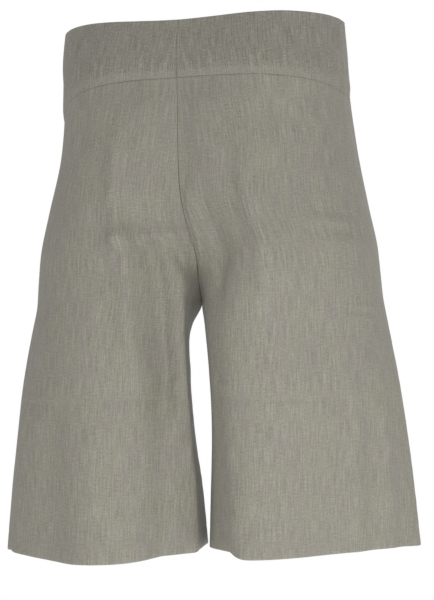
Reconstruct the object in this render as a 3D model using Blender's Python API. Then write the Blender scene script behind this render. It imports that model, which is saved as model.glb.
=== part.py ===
"""Wide-legged bermuda shorts of plain linen, in the hollow form they keep when worn.

Each cloth piece is a thin closed wall: four leg panels and three waistband pieces, sewn edge to edge.
Metres, +Z up, the front faces -Y, +X is the wearer's left. The origin is the middle of the waistband.
"""
import math
from functools import lru_cache
from typing import NamedTuple

import bmesh
import bpy
import numpy as np

# Driving sizes, in metres and degrees.
PANEL_WALL = 0.0012         # one layer of linen
HEM_WALL = 0.0026           # the turned-up hem, two layers
HEM_DEPTH = 0.020           # height of the turned-up hem
HEM_STEP = 0.001            # its raw edge
BAND_WALL = 0.0022          # outer and inner band with the stiffening between them
SEAM_GAP = 0.0003           # clearance between neighbouring pieces along a seam

BAND_TOP = 0.0395           # upper edge of the band, over each side of the back
BAND_TOP_DIP = 0.0045       # how much lower that edge is at the centre back
DIP_START = 0.4             # share of the back band, from its side seam, where the dip begins
BAND_TOP_DROP = 0.0050      # how much lower it is at the side seams and across the front
BAND_LOWER_BACK = -0.0280   # lower edge of the band at the centre back
BAND_LOWER_FRONT = -0.0400  # lower edge of the band at the centre front
BAND_ARCH = 3.0             # how late the lower edge drops towards the side seams
CROTCH = -0.266             # height where the two legs part
HEM = -0.536                # height of the hems

WAIST_TILT = 2.2            # the waist stands higher on the right than on the left
HEM_TILT = 1.0              # and the hems a little
HEM_TURN = 8.0              # the hems hang turned about the upright axis, against the waist
TURN_TOP = -0.12            # the turn begins at this height
TURN_BOTTOM = -0.42         # and is complete at this one
WAIST_SWAY = 0.0027         # sideways sway of the waist, towards the left side
SWAY_TOP = 0.03             # it is complete at this height
SWAY_BOTTOM = -0.06         # and dies out at this one
HIP_SWAY = -0.002           # sideways sway of the hips, towards the right leg
HEM_SWAY = -0.003           # and of the hems
SEAM_PULL = -0.0078         # how far the seat's seam is pulled sideways, above the crotch
PULL_AT = -0.212            # height of the middle of that pull
PULL_REACH = 0.036          # how far up and down it reaches
PULL_WIDTH = 0.05           # and how far to each side
PULL_DEPTH = 0.06           # y at which it is complete; the front has none of it

BACK_COLUMNS = 25           # faces across a back panel, from the side seam to its inner edge
FOLD_COLUMN = 20            # the column that follows the fold by its inner edge
FRONT_COLUMNS = 14
BAND_ROWS = 3
ARCH_ROWS = 3               # rows below the band over which its arched seam levels out
CURVE_STEPS = 60
ALONG_STEP = 0.01           # share of a panel over which the run of its cloth is read
HEM_ROWS = 2                # rows of points that bound the turned-up hem
KEY_DIGITS = 6
SMALL = 1e-6
SHARP_ANGLE = 40.0
FOLD_FADE = 0.06            # height over which a fold grows from nothing
EDGE_FADE = 0.10            # share of a panel by its long edges where folds die out
MITRE_LIMIT = 1.6           # the wall's corner reaches at most this far, in walls
LINEN = (0.285, 0.270, 0.232)
BAND_LINEN = (0.245, 0.233, 0.200)
MATT = 0.9


class Section(NamedTuple):
    """One level of one half's back or front; x runs outwards from the centre line, y out of the body."""

    height: float        # z of the level
    side: float          # x of the side seam
    bow: float           # fullness of the cloth between side seam and crest, 0.55 being a round quarter
    crest: float         # x where the cloth is fullest
    depth: float         # y there
    turn: float          # x towards which it stays full before it turns in
    seam_x: float        # x of the inner edge: the centre seam, and the inseam below the crotch
    seam_y: float        # y of that edge
    angle: float         # direction in which the cloth leaves that edge, in degrees from +x
    ease: float          # how far it keeps that direction
    crisp: float = 1.0   # how tightly the cloth folds there, 1 being a round fold
    hold: float = 1.0    # how tightly it folds where it turns in


BACK_SEAT = (
    Section(0.040, 0.1552, 0.54, 0.060, 0.0990, 0.030, 0.0, 0.0975, 2, 0.03),
    Section(0.000, 0.1580, 0.53, 0.065, 0.1110, 0.032, 0.0, 0.1095, 4, 0.03),
    Section(-0.045, 0.1580, 0.50, 0.070, 0.1155, 0.035, 0.0, 0.1135, 6, 0.03),
    Section(-0.100, 0.1640, 0.45, 0.080, 0.1220, 0.045, 0.0, 0.1165, 12, 0.03),
)
BACK_LEFT_LEG = (
    Section(-0.160, 0.1755, 0.50, 0.088, 0.1265, 0.050, 0.0, 0.1080, 20, 0.03),
    Section(-0.210, 0.1850, 0.54, 0.090, 0.1260, 0.050, 0.0, 0.0880, 32, 0.025),
    Section(-0.240, 0.1880, 0.53, 0.092, 0.1245, 0.055, 0.0, 0.0640, 79, 0.034, 12.0),
    Section(CROTCH, 0.1900, 0.52, 0.095, 0.1230, 0.060, 0.0, 0.0320, 85, 0.063, 34.0),
    Section(-0.290, 0.1945, 0.52, 0.100, 0.121, 0.065, 0.0124, 0.029, 95, 0.063, 44.0),
    Section(-0.340, 0.2038, 0.50, 0.105, 0.120, 0.070, 0.0160, 0.022, 97, 0.066, 44.0),
    Section(-0.400, 0.2112, 0.48, 0.110, 0.122, 0.075, 0.0138, 0.014, 96, 0.067, 40.0),
    Section(-0.470, 0.2190, 0.46, 0.110, 0.126, 0.080, 0.0055, 0.006, 93, 0.070, 36.0),
    Section(HEM, 0.2240, 0.45, 0.110, 0.132, 0.080, 0.0003, 0.0, 90, 0.072, 24.0),
)
BACK_RIGHT_LEG = (
    Section(-0.160, 0.1755, 0.46, 0.080, 0.1265, 0.060, 0.0, 0.1080, 24, 0.03),
    Section(-0.210, 0.1865, 0.48, 0.090, 0.1265, 0.066, 0.0, 0.0880, 30, 0.035, 1.0, 2.0),
    Section(-0.240, 0.1900, 0.48, 0.090, 0.1255, 0.054, 0.0, 0.0640, 66, 0.036, 2.0, 4.0),
    Section(CROTCH, 0.1930, 0.48, 0.088, 0.1230, 0.047, 0.0, 0.0320, 82, 0.051, 6.0, 8.0),
    Section(-0.290, 0.1975, 0.47, 0.085, 0.120, 0.043, 0.0040, 0.029, 84, 0.059, 10.0, 12.0),
    Section(-0.340, 0.2070, 0.46, 0.080, 0.118, 0.041, 0.0070, 0.022, 85, 0.069, 12.0, 14.0),
    Section(-0.400, 0.2166, 0.38, 0.076, 0.116, 0.040, 0.0082, 0.014, 86.5, 0.070, 12.0, 14.0),
    Section(-0.470, 0.2255, 0.33, 0.074, 0.115, 0.044, 0.0058, 0.006, 87.5, 0.064, 12.0, 14.0),
    Section(HEM, 0.2325, 0.30, 0.072, 0.115, 0.049, 0.0032, 0.0, 88, 0.064, 12.0, 14.0),
)
# Along each hem, from the side seam inwards: the share of the way across, and the lift there.
LEFT_HEM = ((0.0, 0.0005), (0.12, 0.0066), (0.45, -0.0022), (0.56, -0.0022), (0.80, 0.0042), (0.84, 0.0068))
RIGHT_HEM = ((0.0, 0.0040), (0.12, 0.0057), (0.62, 0.0014), (0.69, 0.0080))
# The front takes its side seam and inseam from the back, so those columns only hold their place.
FRONT = (
    Section(0.040, 0.0, 0.56, 0.040, 0.1040, 0.020, 0.0, 0.1045, 0, 0.02),
    Section(-0.045, 0.0, 0.56, 0.050, 0.1070, 0.025, 0.0, 0.1070, 0, 0.02),
    Section(-0.100, 0.0, 0.56, 0.065, 0.1090, 0.035, 0.0, 0.1080, 4, 0.03),
    Section(-0.160, 0.0, 0.55, 0.080, 0.1080, 0.040, 0.0, 0.0970, 24, 0.03),
    Section(-0.210, 0.0, 0.55, 0.085, 0.1070, 0.040, 0.0, 0.0600, 58, 0.03),
    Section(CROTCH, 0.0, 0.52, 0.090, 0.1060, 0.045, 0.0, -0.0320, 72, 0.07),
    Section(-0.330, 0.0, 0.50, 0.095, 0.1050, 0.050, 0.0, -0.0230, 74, 0.06),
    Section(-0.400, 0.0, 0.48, 0.100, 0.1050, 0.050, 0.0, -0.0090, 75, 0.06),
    Section(-0.470, 0.0, 0.46, 0.105, 0.1060, 0.045, 0.0, -0.0040, 75, 0.06),
    Section(HEM, 0.0, 0.45, 0.105, 0.1070, 0.040, 0.0, 0.0, 75, 0.06),
)
ROW_HEIGHTS = (-0.045, -0.065, -0.085, -0.108, -0.131, -0.153, -0.173, -0.191, -0.208, -0.224,
               -0.239, -0.253, CROTCH, -0.278, -0.292, -0.312, -0.338, -0.368, -0.398, -0.428,
               -0.458, -0.488, HEM + HEM_DEPTH + HEM_STEP, HEM + HEM_DEPTH, HEM)


class Fold(NamedTuple):
    """A soft ridge down a panel, or a trough where its depth is negative."""

    piece: str
    top_across: float    # where it starts across the panel, 0 being the side seam and 1 the inner edge
    low_across: float    # where it ends
    top: float           # height at which it starts
    low: float           # height at which it ends; those that run out at the hem end below it
    width: float         # half its width, as a share of the panel's
    depth: float         # how far its middle stands out of the cloth


FOLDS = (
    Fold("back_left", 0.81, 0.80, -0.03, -0.19, 0.110, 0.0060),
    Fold("back_left", 0.74, 0.65, -0.05, -0.36, 0.040, 0.0040),
    Fold("back_left", 0.77, 0.73, -0.14, -0.42, 0.055, -0.0070),
    Fold("back_left", 0.68, 0.56, -0.18, -0.70, 0.090, 0.0080),
    Fold("back_left", 0.36, 0.35, -0.32, -0.70, 0.075, -0.0060),
    Fold("back_left", 0.20, 0.20, -0.34, -0.70, 0.060, 0.0040),
    Fold("back_right", 0.82, 0.81, -0.03, -0.19, 0.110, 0.0060),
    Fold("back_right", 0.77, 0.60, -0.06, -0.29, 0.045, 0.0040),
    Fold("back_right", 0.67, 0.60, -0.18, -0.70, 0.080, 0.0055),
    Fold("back_right", 0.84, 0.76, -0.12, -0.29, 0.060, -0.0035),
    Fold("back_right", 0.50, 0.40, -0.05, -0.36, 0.110, -0.0050),
    Fold("back_right", 0.28, 0.27, -0.33, -0.70, 0.045, 0.0035),
    Fold("front_left", 0.68, 0.55, -0.12, -0.70, 0.090, 0.0060),
    Fold("front_left", 0.36, 0.32, -0.22, -0.70, 0.090, -0.0055),
    Fold("front_left", 0.80, 0.70, -0.18, -0.44, 0.055, -0.0045),
    Fold("front_right", 0.66, 0.54, -0.14, -0.70, 0.090, 0.0060),
    Fold("front_right", 0.34, 0.33, -0.20, -0.70, 0.080, -0.0055),
    Fold("front_right", 0.79, 0.68, -0.20, -0.44, 0.055, -0.0040),
)


class Half(NamedTuple):
    """The left or right half of the shorts."""

    name: str
    sign: int            # +1 on the wearer's left, -1 on the right
    band_side: float     # lower edge of the band at this side seam
    hem: tuple           # shares across a back panel, and how much the hem is lifted there
    back: tuple          # sections of the back, waist to hem


HALVES = (
    Half("left", 1, -0.084, LEFT_HEM, BACK_SEAT + BACK_LEFT_LEG),
    Half("right", -1, -0.050, RIGHT_HEM, BACK_SEAT + BACK_RIGHT_LEG),
)


def smooth_step(start, end, value):
    """0 at start, 1 at end, level at both."""
    x = min(max((value - start) / (end - start), 0.0), 1.0)
    return x * x * (3.0 - 2.0 * x)


@lru_cache(maxsize=None)
def section_at(table, height):
    """The section at any height, on smooth curves through the table's rows."""
    rows = np.array(table)
    down = -rows[:, 0]
    slopes = np.gradient(rows, down, axis=0)
    here = min(max(-height, down[0]), down[-1])
    k = min(int(np.searchsorted(down, here, side="right")) - 1, len(down) - 2)
    span = down[k + 1] - down[k]
    t = (here - down[k]) / span
    start = (2 * t**3 - 3 * t**2 + 1) * rows[k] + (t**3 - 2 * t**2 + t) * span * slopes[k]
    end = (3 * t**2 - 2 * t**3) * rows[k + 1] + (t**3 - t**2) * span * slopes[k + 1]
    section = Section(*(start + end))
    if height >= CROTCH:
        return section._replace(seam_x=0.0)
    return section._replace(seam_x=max(section.seam_x, SEAM_GAP))


def front_section(half, height):
    """The front's section, which meets the back at the side seam and at the inseam."""
    back = section_at(half.back, height)
    front = section_at(FRONT, height)._replace(side=back.side, seam_x=back.seam_x)
    if height <= CROTCH:
        return front._replace(seam_y=-back.seam_y)
    return front


def weighted_curve(corners):
    """A cubic curve from the first corner to the last, drawn to the others by their weights."""
    t = np.linspace(0.0, 1.0, CURVE_STEPS)
    shares = np.column_stack(((1 - t)**3, 3 * t * (1 - t)**2, 3 * t**2 * (1 - t), t**3))
    corners = np.array(corners, dtype=float)
    pulled = shares * corners[:, 2]
    return pulled @ corners[:, :2] / pulled.sum(axis=1, keepdims=True)


def inner_turn(s):
    """The corner round which the cloth folds by its inner edge."""
    lean = math.radians(s.angle)
    return s.seam_x + s.ease * math.cos(lean), s.seam_y + s.ease * math.sin(lean)


@lru_cache(maxsize=None)
def section_curve(s):
    """The cloth at one level: its points, and how far along it each lies, from 0 to 1."""
    shoulder = s.crest + s.bow * (s.side - s.crest)
    outer = weighted_curve(((s.side, 0.0, 1.0), (s.side, s.bow * s.depth, 1.0),
                            (shoulder, s.depth, 1.0), (s.crest, s.depth, 1.0)))
    inner = weighted_curve(((s.crest, s.depth, 1.0), (s.turn, s.depth, s.hold),
                            (*inner_turn(s), s.crisp), (s.seam_x, s.seam_y, 1.0)))
    points = np.concatenate((outer, inner[1:]))
    along = np.concatenate(([0.0], np.cumsum(np.linalg.norm(np.diff(points, axis=0), axis=1))))
    return points, along / along[-1]


def seam_height(half, is_back, across):
    """Height of the band's lower edge; across is 0 at the side seam and 1 at the centre."""
    middle = BAND_LOWER_BACK if is_back else BAND_LOWER_FRONT
    return middle + (half.band_side - middle) * (1.0 - across)**BAND_ARCH


def hem_lift(half, is_back, across):
    """How much the hem is lifted there; it steps up behind a back's inner fold."""
    line = half.hem if is_back else ((0.0, half.hem[0][1]), (1.0, half.hem[-1][1]))
    lift = line[0][1]
    for (start, low), (end, high) in zip(line, line[1:]):
        lift += (high - low) * smooth_step(start, end, across)
    return lift


def top_height(is_back, across):
    """Height of the band's upper edge."""
    if not is_back:
        return BAND_TOP - BAND_TOP_DROP
    dip = BAND_TOP_DIP * smooth_step(DIP_START, 1.0, across)
    return BAND_TOP - dip - BAND_TOP_DROP * (1.0 - across)**BAND_ARCH


def worn(point):
    """The point where the worn shorts carry it: seat pulled, hips tilted, hems turned and swayed."""
    x, y, z = (float(value) for value in point)
    near = math.exp(-((z - PULL_AT) / PULL_REACH)**2 - (x / PULL_WIDTH)**2)
    x += SEAM_PULL * near * smooth_step(0.0, PULL_DEPTH, y)
    turn = math.radians(HEM_TURN) * smooth_step(TURN_TOP, TURN_BOTTOM, z)
    sway = WAIST_SWAY * smooth_step(SWAY_BOTTOM, SWAY_TOP, z)
    sway += HIP_SWAY * smooth_step(0.0, TURN_TOP, z) + (HEM_SWAY - HIP_SWAY) * smooth_step(CROTCH, HEM, z)
    turned_x = x * math.cos(turn) - y * math.sin(turn)
    turned_y = x * math.sin(turn) + y * math.cos(turn)
    tilt = math.radians(WAIST_TILT + (HEM_TILT - WAIST_TILT) * smooth_step(0.0, HEM, z))
    return (turned_x + sway, turned_y, z - x * math.tan(tilt))


def fold_depth(piece, across, height):
    """How far the folds of a piece carry its cloth out at one place."""
    total = 0.0
    for fold in FOLDS:
        if fold.piece != piece or not fold.low < height < fold.top:
            continue
        share = (fold.top - height) / (fold.top - fold.low)
        middle = fold.top_across + (fold.low_across - fold.top_across) * share
        begun = smooth_step(fold.top, fold.top - FOLD_FADE, height)
        left = smooth_step(fold.low, fold.low + FOLD_FADE, height)
        total += fold.depth * begun * left * math.exp(-((across - middle) / fold.width)**2)
    return total * smooth_step(0.0, EDGE_FADE, across) * smooth_step(1.0, 1.0 - EDGE_FADE, across)


def cloth_point(half, is_back, across, height):
    """A point of the outer face of the cloth, on shorts that stand straight."""
    section = section_at(half.back, height) if is_back else front_section(half, height)
    points, along = section_curve(section)
    place = np.array([np.interp(across, along, points[:, k]) for k in (0, 1)])
    ahead = np.array([np.interp(across + ALONG_STEP, along, points[:, k]) for k in (0, 1)])
    behind = np.array([np.interp(across - ALONG_STEP, along, points[:, k]) for k in (0, 1)])
    run = (ahead - behind) / np.linalg.norm(ahead - behind)
    piece = ("back_" if is_back else "front_") + half.name
    x, y = place + np.array((run[1], -run[0])) * fold_depth(piece, across, height)
    return (half.sign * float(x), float(y if is_back else -y), height)


@lru_cache(maxsize=None)
def column_places(half, is_back, height, columns):
    """How far across the cloth each column lies, one of them along the fold by a back's inner edge."""
    if not is_back:
        return np.linspace(0.0, 1.0, columns + 1)
    section = section_at(half.back, height)
    points, along = section_curve(section)
    fold = along[np.argmin(np.linalg.norm(points - inner_turn(section), axis=1))]
    return np.interp(np.arange(columns + 1), (0, FOLD_COLUMN, columns), (0.0, fold, 1.0))


def facing_out(rows, half, is_back):
    """The rows, ordered so that going down and then across turns out of the body on every piece."""
    return rows if (half.sign > 0) == is_back else rows[:, ::-1]


def panel_rows(half, is_back, columns):
    """The outer face of a leg panel, a row of points for each level."""
    rows = []
    for level, height in enumerate(ROW_HEIGHTS):
        row = []
        for across in column_places(half, is_back, height, columns):
            arch = (seam_height(half, is_back, across) - ROW_HEIGHTS[0]) * max(1.0 - level / ARCH_ROWS, 0.0)
            rise = hem_lift(half, is_back, across) * smooth_step(CROTCH, HEM, height)
            row.append(cloth_point(half, is_back, across, height + arch + rise))
        rows.append(row)
    return facing_out(np.array(rows), half, is_back)


def band_rows(half, is_back, columns):
    """The outer face of half a waistband."""
    rows = []
    for level in range(BAND_ROWS + 1):
        row = []
        for across in column_places(half, is_back, ROW_HEIGHTS[0], columns):
            top = top_height(is_back, across)
            low = seam_height(half, is_back, across)
            row.append(cloth_point(half, is_back, across, top + (low - top) * level / BAND_ROWS))
        rows.append(row)
    return facing_out(np.array(rows), half, is_back)


def face_normals(rows):
    """The outward direction of each face of a piece."""
    down = rows[1:, :-1] - rows[:-1, 1:]
    across = rows[1:, 1:] - rows[:-1, :-1]
    normals = np.cross(down, across)
    return normals / np.linalg.norm(normals, axis=2, keepdims=True)


def corner_keys(rows):
    """A name for each point that pieces sewn together share."""
    return [[tuple(np.round(point, KEY_DIGITS)) for point in row] for row in rows]


def wall_directions(pieces):
    """For each piece, the way through its wall at each point, mitred where pieces meet at a seam."""
    meeting = {}
    for rows in pieces.values():
        keys = corner_keys(rows)
        for (i, j), _ in np.ndenumerate(rows[1:, 1:, 0]):
            normal = face_normals(rows[i:i + 2, j:j + 2])[0, 0]
            for key in (keys[i][j], keys[i + 1][j], keys[i][j + 1], keys[i + 1][j + 1]):
                meeting.setdefault(key, []).append(normal)
    through = {}
    for key, normals in meeting.items():
        middle = np.sum(normals, axis=0)
        middle /= max(np.linalg.norm(middle), SMALL)
        spread = float(np.mean([np.dot(middle, normal) for normal in normals]))
        through[key] = -middle * min(1.0 / max(spread, SMALL), MITRE_LIMIT)
    return {name: np.array([[through[key] for key in row] for row in corner_keys(rows)])
            for name, rows in pieces.items()}


def drawn_in(points):
    """The points with each outer row and column moved half a seam gap inwards."""
    drawn = points.copy()
    for edge, inner in ((0, 1), (-1, -2)):
        step = points[inner] - points[edge]
        drawn[edge] += step / np.linalg.norm(step, axis=1, keepdims=True) * SEAM_GAP / 2
    moved = drawn.copy()
    for edge, inner in ((0, 1), (-1, -2)):
        step = drawn[:, inner] - drawn[:, edge]
        moved[:, edge] += step / np.linalg.norm(step, axis=1, keepdims=True) * SEAM_GAP / 2
    return moved


def linen(name):
    """The plain cloth of one piece."""
    material = bpy.data.materials.new(name + "_linen")
    material.use_nodes = True
    shader = material.node_tree.nodes["Principled BSDF"]
    shader.inputs["Base Color"].default_value = (*(BAND_LINEN if name.startswith("band") else LINEN), 1.0)
    shader.inputs["Roughness"].default_value = MATT
    shader.inputs["Metallic"].default_value = 0.0
    return material


def on_own_side(points, name):
    """The points of a left or right piece, none nearer the centre line than half a seam gap."""
    for half in HALVES:
        if name.endswith(half.name):
            points[..., 0] = half.sign * np.maximum(half.sign * points[..., 0], SEAM_GAP / 2)
    return points


def cloth_piece(name, outer, through, walls, parent):
    """A closed wall of cloth: its outer points, its inner ones, and the edges between them."""
    inner = outer + through * np.array(walls)[:, None, None]
    sides = [np.apply_along_axis(worn, 2, on_own_side(drawn_in(side), name)) for side in (outer, inner)]
    origin = sides[0][0].mean(axis=0)
    cloth = bmesh.new()
    faces = [[[cloth.verts.new(point - origin) for point in row] for row in side] for side in sides]
    count, width = outer.shape[0], outer.shape[1]
    for i in range(count - 1):
        for j in range(width - 1):
            corners = ((i, j), (i + 1, j), (i + 1, j + 1), (i, j + 1))
            cloth.faces.new([faces[0][a][b] for a, b in corners])
            cloth.faces.new([faces[1][a][b] for a, b in reversed(corners)])
    rim = ([(i, 0) for i in range(count)] + [(count - 1, j) for j in range(1, width)]
           + [(i, width - 1) for i in range(count - 2, -1, -1)] + [(0, j) for j in range(width - 2, 0, -1)])
    for (a, b), (c, d) in zip(rim, rim[1:] + rim[:1]):
        cloth.faces.new((faces[0][c][d], faces[0][a][b], faces[1][a][b], faces[1][c][d]))
    mesh = bpy.data.meshes.new(name)
    cloth.to_mesh(mesh)
    cloth.free()
    mesh.shade_smooth()
    mesh.set_sharp_from_angle(angle=math.radians(SHARP_ANGLE))
    mesh.materials.append(linen(name))
    piece = bpy.data.objects.new(name, mesh)
    piece.location = origin
    piece.parent = parent
    bpy.context.collection.objects.link(piece)
    return piece


def build():
    """Models the shorts, one object for each piece of cloth."""
    for old in list(bpy.data.objects):
        bpy.data.objects.remove(old, do_unlink=True)
    shorts = bpy.data.objects.new("shorts", None)
    bpy.context.collection.objects.link(shorts)
    pieces = {}
    for half in HALVES:
        pieces["back_" + half.name] = panel_rows(half, True, BACK_COLUMNS)
        pieces["front_" + half.name] = panel_rows(half, False, FRONT_COLUMNS)
        pieces["band_back_" + half.name] = band_rows(half, True, BACK_COLUMNS)
    left, right = (band_rows(half, False, FRONT_COLUMNS) for half in HALVES)
    pieces["band_front"] = np.concatenate((right, left[:, 1:]), axis=1)
    directions = wall_directions(pieces)
    thin = len(ROW_HEIGHTS) - HEM_ROWS
    for name, rows in pieces.items():
        is_band = name.startswith("band")
        walls = [BAND_WALL] * len(rows) if is_band else [PANEL_WALL] * thin + [HEM_WALL] * HEM_ROWS
        cloth_piece(name, rows, directions[name], walls, shorts)


build()
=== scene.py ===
"""The looks of wide-legged linen bermuda shorts, in the hollow form they keep when worn.

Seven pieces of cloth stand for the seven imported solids: four leg panels with their seam allowances and
turned-up hems, and three folded pieces of waistband. Metres, +Z up; the front faces -Y and +X is the
wearer's left. The origin is the middle of the waistband.
"""

import logging
import math
from dataclasses import dataclass
from enum import Enum
from typing import Any, Sequence

import bpy
import numpy as np
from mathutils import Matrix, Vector, noise


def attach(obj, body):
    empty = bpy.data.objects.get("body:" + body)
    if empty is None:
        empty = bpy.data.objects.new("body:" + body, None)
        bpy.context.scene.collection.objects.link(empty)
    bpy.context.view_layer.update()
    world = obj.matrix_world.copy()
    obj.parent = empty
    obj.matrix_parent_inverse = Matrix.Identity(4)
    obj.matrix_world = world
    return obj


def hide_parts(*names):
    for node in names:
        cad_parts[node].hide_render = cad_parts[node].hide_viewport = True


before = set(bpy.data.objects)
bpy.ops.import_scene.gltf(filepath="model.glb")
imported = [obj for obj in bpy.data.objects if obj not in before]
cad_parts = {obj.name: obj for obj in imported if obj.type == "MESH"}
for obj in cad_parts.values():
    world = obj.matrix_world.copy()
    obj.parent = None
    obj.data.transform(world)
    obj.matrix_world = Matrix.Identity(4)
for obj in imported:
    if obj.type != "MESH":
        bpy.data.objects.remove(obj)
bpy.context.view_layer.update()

ROOT = "root"
LOG = logging.getLogger("shorts")

CROTCH = -0.266             # height where the two legs part
HEM = -0.536                # height of the hems
BAND_TOP = 0.0395           # upper edge of the band, over each side of the back
BAND_TOP_DIP = 0.0045       # how much lower that edge is at the centre back
DIP_START = 0.4             # share of the back band, from its side seam, where the dip begins
BAND_TOP_DROP = 0.0050      # how much lower it is at the side seams and across the front
BAND_LOWER_BACK = -0.0280   # lower edge of the band at the centre back
BAND_LOWER_FRONT = -0.0400  # lower edge of the band at the centre front
BAND_ARCH = 3.0             # how late the lower edge drops towards the side seams
HALF_GAP = 0.00004          # nearest that a left or right piece comes to the centre line

CURVE_STEPS = 48            # points along each of a section's two curves, to measure it by
RUN_STEP = 1e-9             # keeps a direction from dividing by nothing
WEAR_REACH = 0.0016         # how far from a seam or a fold the paler wear along it dies out
SMOOTH_ANGLE = math.radians(50)    # faces that meet at less than this are shaded as one surface


class Side(Enum):
    """The back or the front of the shorts."""

    BACK = "back"
    FRONT = "front"


class Hold(Enum):
    """How a sheet of cloth is held."""

    HUNG = "hung"
    STRETCHED = "stretched"


@dataclass(frozen=True)
class Section:
    """One level of one half's back or front; x runs outwards from the centre line, y out of the body."""

    height: float        # z of the level
    side: float          # x of the side seam
    bow: float           # fullness of the cloth between side seam and crest, 0.55 being a round quarter
    crest: float         # x where the cloth is fullest
    depth: float         # y there
    turn: float          # x towards which it stays full before it turns in
    seam_x: float        # x of the inner edge: the centre seam, and the inseam below the crotch
    seam_y: float        # y of that edge
    angle: float         # direction in which the cloth leaves that edge, in degrees from +x
    ease: float          # how far it keeps that direction
    crisp: float = 1.0   # how tightly the cloth folds there, 1 being a round fold
    hold: float = 1.0    # how tightly it folds where it turns in

    def row(self) -> tuple[float, ...]:
        """The section's numbers in the order of its fields."""
        return tuple(vars(self).values())


BACK_SEAT = (
    Section(0.040, 0.1552, 0.54, 0.060, 0.0990, 0.030, 0.0, 0.0975, 2, 0.03),
    Section(0.000, 0.1580, 0.53, 0.065, 0.1110, 0.032, 0.0, 0.1095, 4, 0.03),
    Section(-0.045, 0.1580, 0.50, 0.070, 0.1155, 0.035, 0.0, 0.1135, 6, 0.03),
    Section(-0.100, 0.1640, 0.45, 0.080, 0.1220, 0.045, 0.0, 0.1165, 12, 0.03),
)
BACK_LEFT_LEG = (
    Section(-0.160, 0.1755, 0.50, 0.088, 0.1265, 0.050, 0.0, 0.1080, 20, 0.03),
    Section(-0.210, 0.1850, 0.54, 0.090, 0.1260, 0.050, 0.0, 0.0880, 32, 0.025),
    Section(-0.240, 0.1880, 0.53, 0.092, 0.1245, 0.055, 0.0, 0.0640, 79, 0.034, 12.0),
    Section(CROTCH, 0.1900, 0.52, 0.095, 0.1230, 0.060, 0.0, 0.0320, 85, 0.063, 34.0),
    Section(-0.290, 0.1945, 0.52, 0.100, 0.121, 0.065, 0.0124, 0.029, 95, 0.063, 44.0),
    Section(-0.340, 0.2038, 0.50, 0.105, 0.120, 0.070, 0.0160, 0.022, 97, 0.066, 44.0),
    Section(-0.400, 0.2112, 0.48, 0.110, 0.122, 0.075, 0.0138, 0.014, 96, 0.067, 40.0),
    Section(-0.470, 0.2190, 0.46, 0.110, 0.126, 0.080, 0.0055, 0.006, 93, 0.070, 36.0),
    Section(HEM, 0.2240, 0.45, 0.110, 0.132, 0.080, 0.0003, 0.0, 90, 0.072, 24.0),
)
BACK_RIGHT_LEG = (
    Section(-0.160, 0.1755, 0.46, 0.080, 0.1265, 0.060, 0.0, 0.1080, 24, 0.03),
    Section(-0.210, 0.1865, 0.48, 0.090, 0.1265, 0.066, 0.0, 0.0880, 30, 0.035, 1.0, 2.0),
    Section(-0.240, 0.1900, 0.48, 0.090, 0.1255, 0.054, 0.0, 0.0640, 66, 0.036, 2.0, 4.0),
    Section(CROTCH, 0.1930, 0.48, 0.088, 0.1230, 0.047, 0.0, 0.0320, 82, 0.051, 6.0, 8.0),
    Section(-0.290, 0.1975, 0.47, 0.085, 0.120, 0.043, 0.0040, 0.029, 84, 0.059, 10.0, 12.0),
    Section(-0.340, 0.2070, 0.46, 0.080, 0.118, 0.041, 0.0070, 0.022, 85, 0.069, 12.0, 14.0),
    Section(-0.400, 0.2166, 0.38, 0.076, 0.116, 0.040, 0.0082, 0.014, 86.5, 0.070, 12.0, 14.0),
    Section(-0.470, 0.2255, 0.33, 0.074, 0.115, 0.044, 0.0058, 0.006, 87.5, 0.064, 12.0, 14.0),
    Section(HEM, 0.2325, 0.30, 0.072, 0.115, 0.049, 0.0032, 0.0, 88, 0.064, 12.0, 14.0),
)
# Along each hem, from the side seam inwards: the share of the way across, and the lift there.
LEFT_HEM = ((0.0, 0.0005), (0.12, 0.0066), (0.45, -0.0022), (0.56, -0.0022), (0.80, 0.0042), (0.84, 0.0068))
RIGHT_HEM = ((0.0, 0.0040), (0.12, 0.0057), (0.62, 0.0014), (0.69, 0.0080))
# The front takes its side seam and inseam from the back, so those columns only hold their place.
FRONT = (
    Section(0.040, 0.0, 0.56, 0.040, 0.1040, 0.020, 0.0, 0.1045, 0, 0.02),
    Section(-0.045, 0.0, 0.56, 0.050, 0.1070, 0.025, 0.0, 0.1070, 0, 0.02),
    Section(-0.100, 0.0, 0.56, 0.065, 0.1090, 0.035, 0.0, 0.1080, 4, 0.03),
    Section(-0.160, 0.0, 0.55, 0.080, 0.1080, 0.040, 0.0, 0.0970, 24, 0.03),
    Section(-0.210, 0.0, 0.55, 0.085, 0.1070, 0.040, 0.0, 0.0600, 58, 0.03),
    Section(CROTCH, 0.0, 0.52, 0.090, 0.1060, 0.045, 0.0, -0.0320, 72, 0.07),
    Section(-0.330, 0.0, 0.50, 0.095, 0.1050, 0.050, 0.0, -0.0230, 74, 0.06),
    Section(-0.400, 0.0, 0.48, 0.100, 0.1050, 0.050, 0.0, -0.0090, 75, 0.06),
    Section(-0.470, 0.0, 0.46, 0.105, 0.1060, 0.045, 0.0, -0.0040, 75, 0.06),
    Section(HEM, 0.0, 0.45, 0.105, 0.1070, 0.040, 0.0, 0.0, 75, 0.06),
)


def smooth_step(start: float, end: float, value: Any) -> Any:
    """A number or array that is 0 at start and 1 at end, level at both.

    Args:
        start: Where it leaves 0.
        end: Where it reaches 1, above or below start.
        value: The number or array to place between them.

    Returns:
        The step, of the same shape as value.
    """
    x = np.clip((value - start) / (end - start), 0.0, 1.0)
    return x * x * (3.0 - 2.0 * x)


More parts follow.
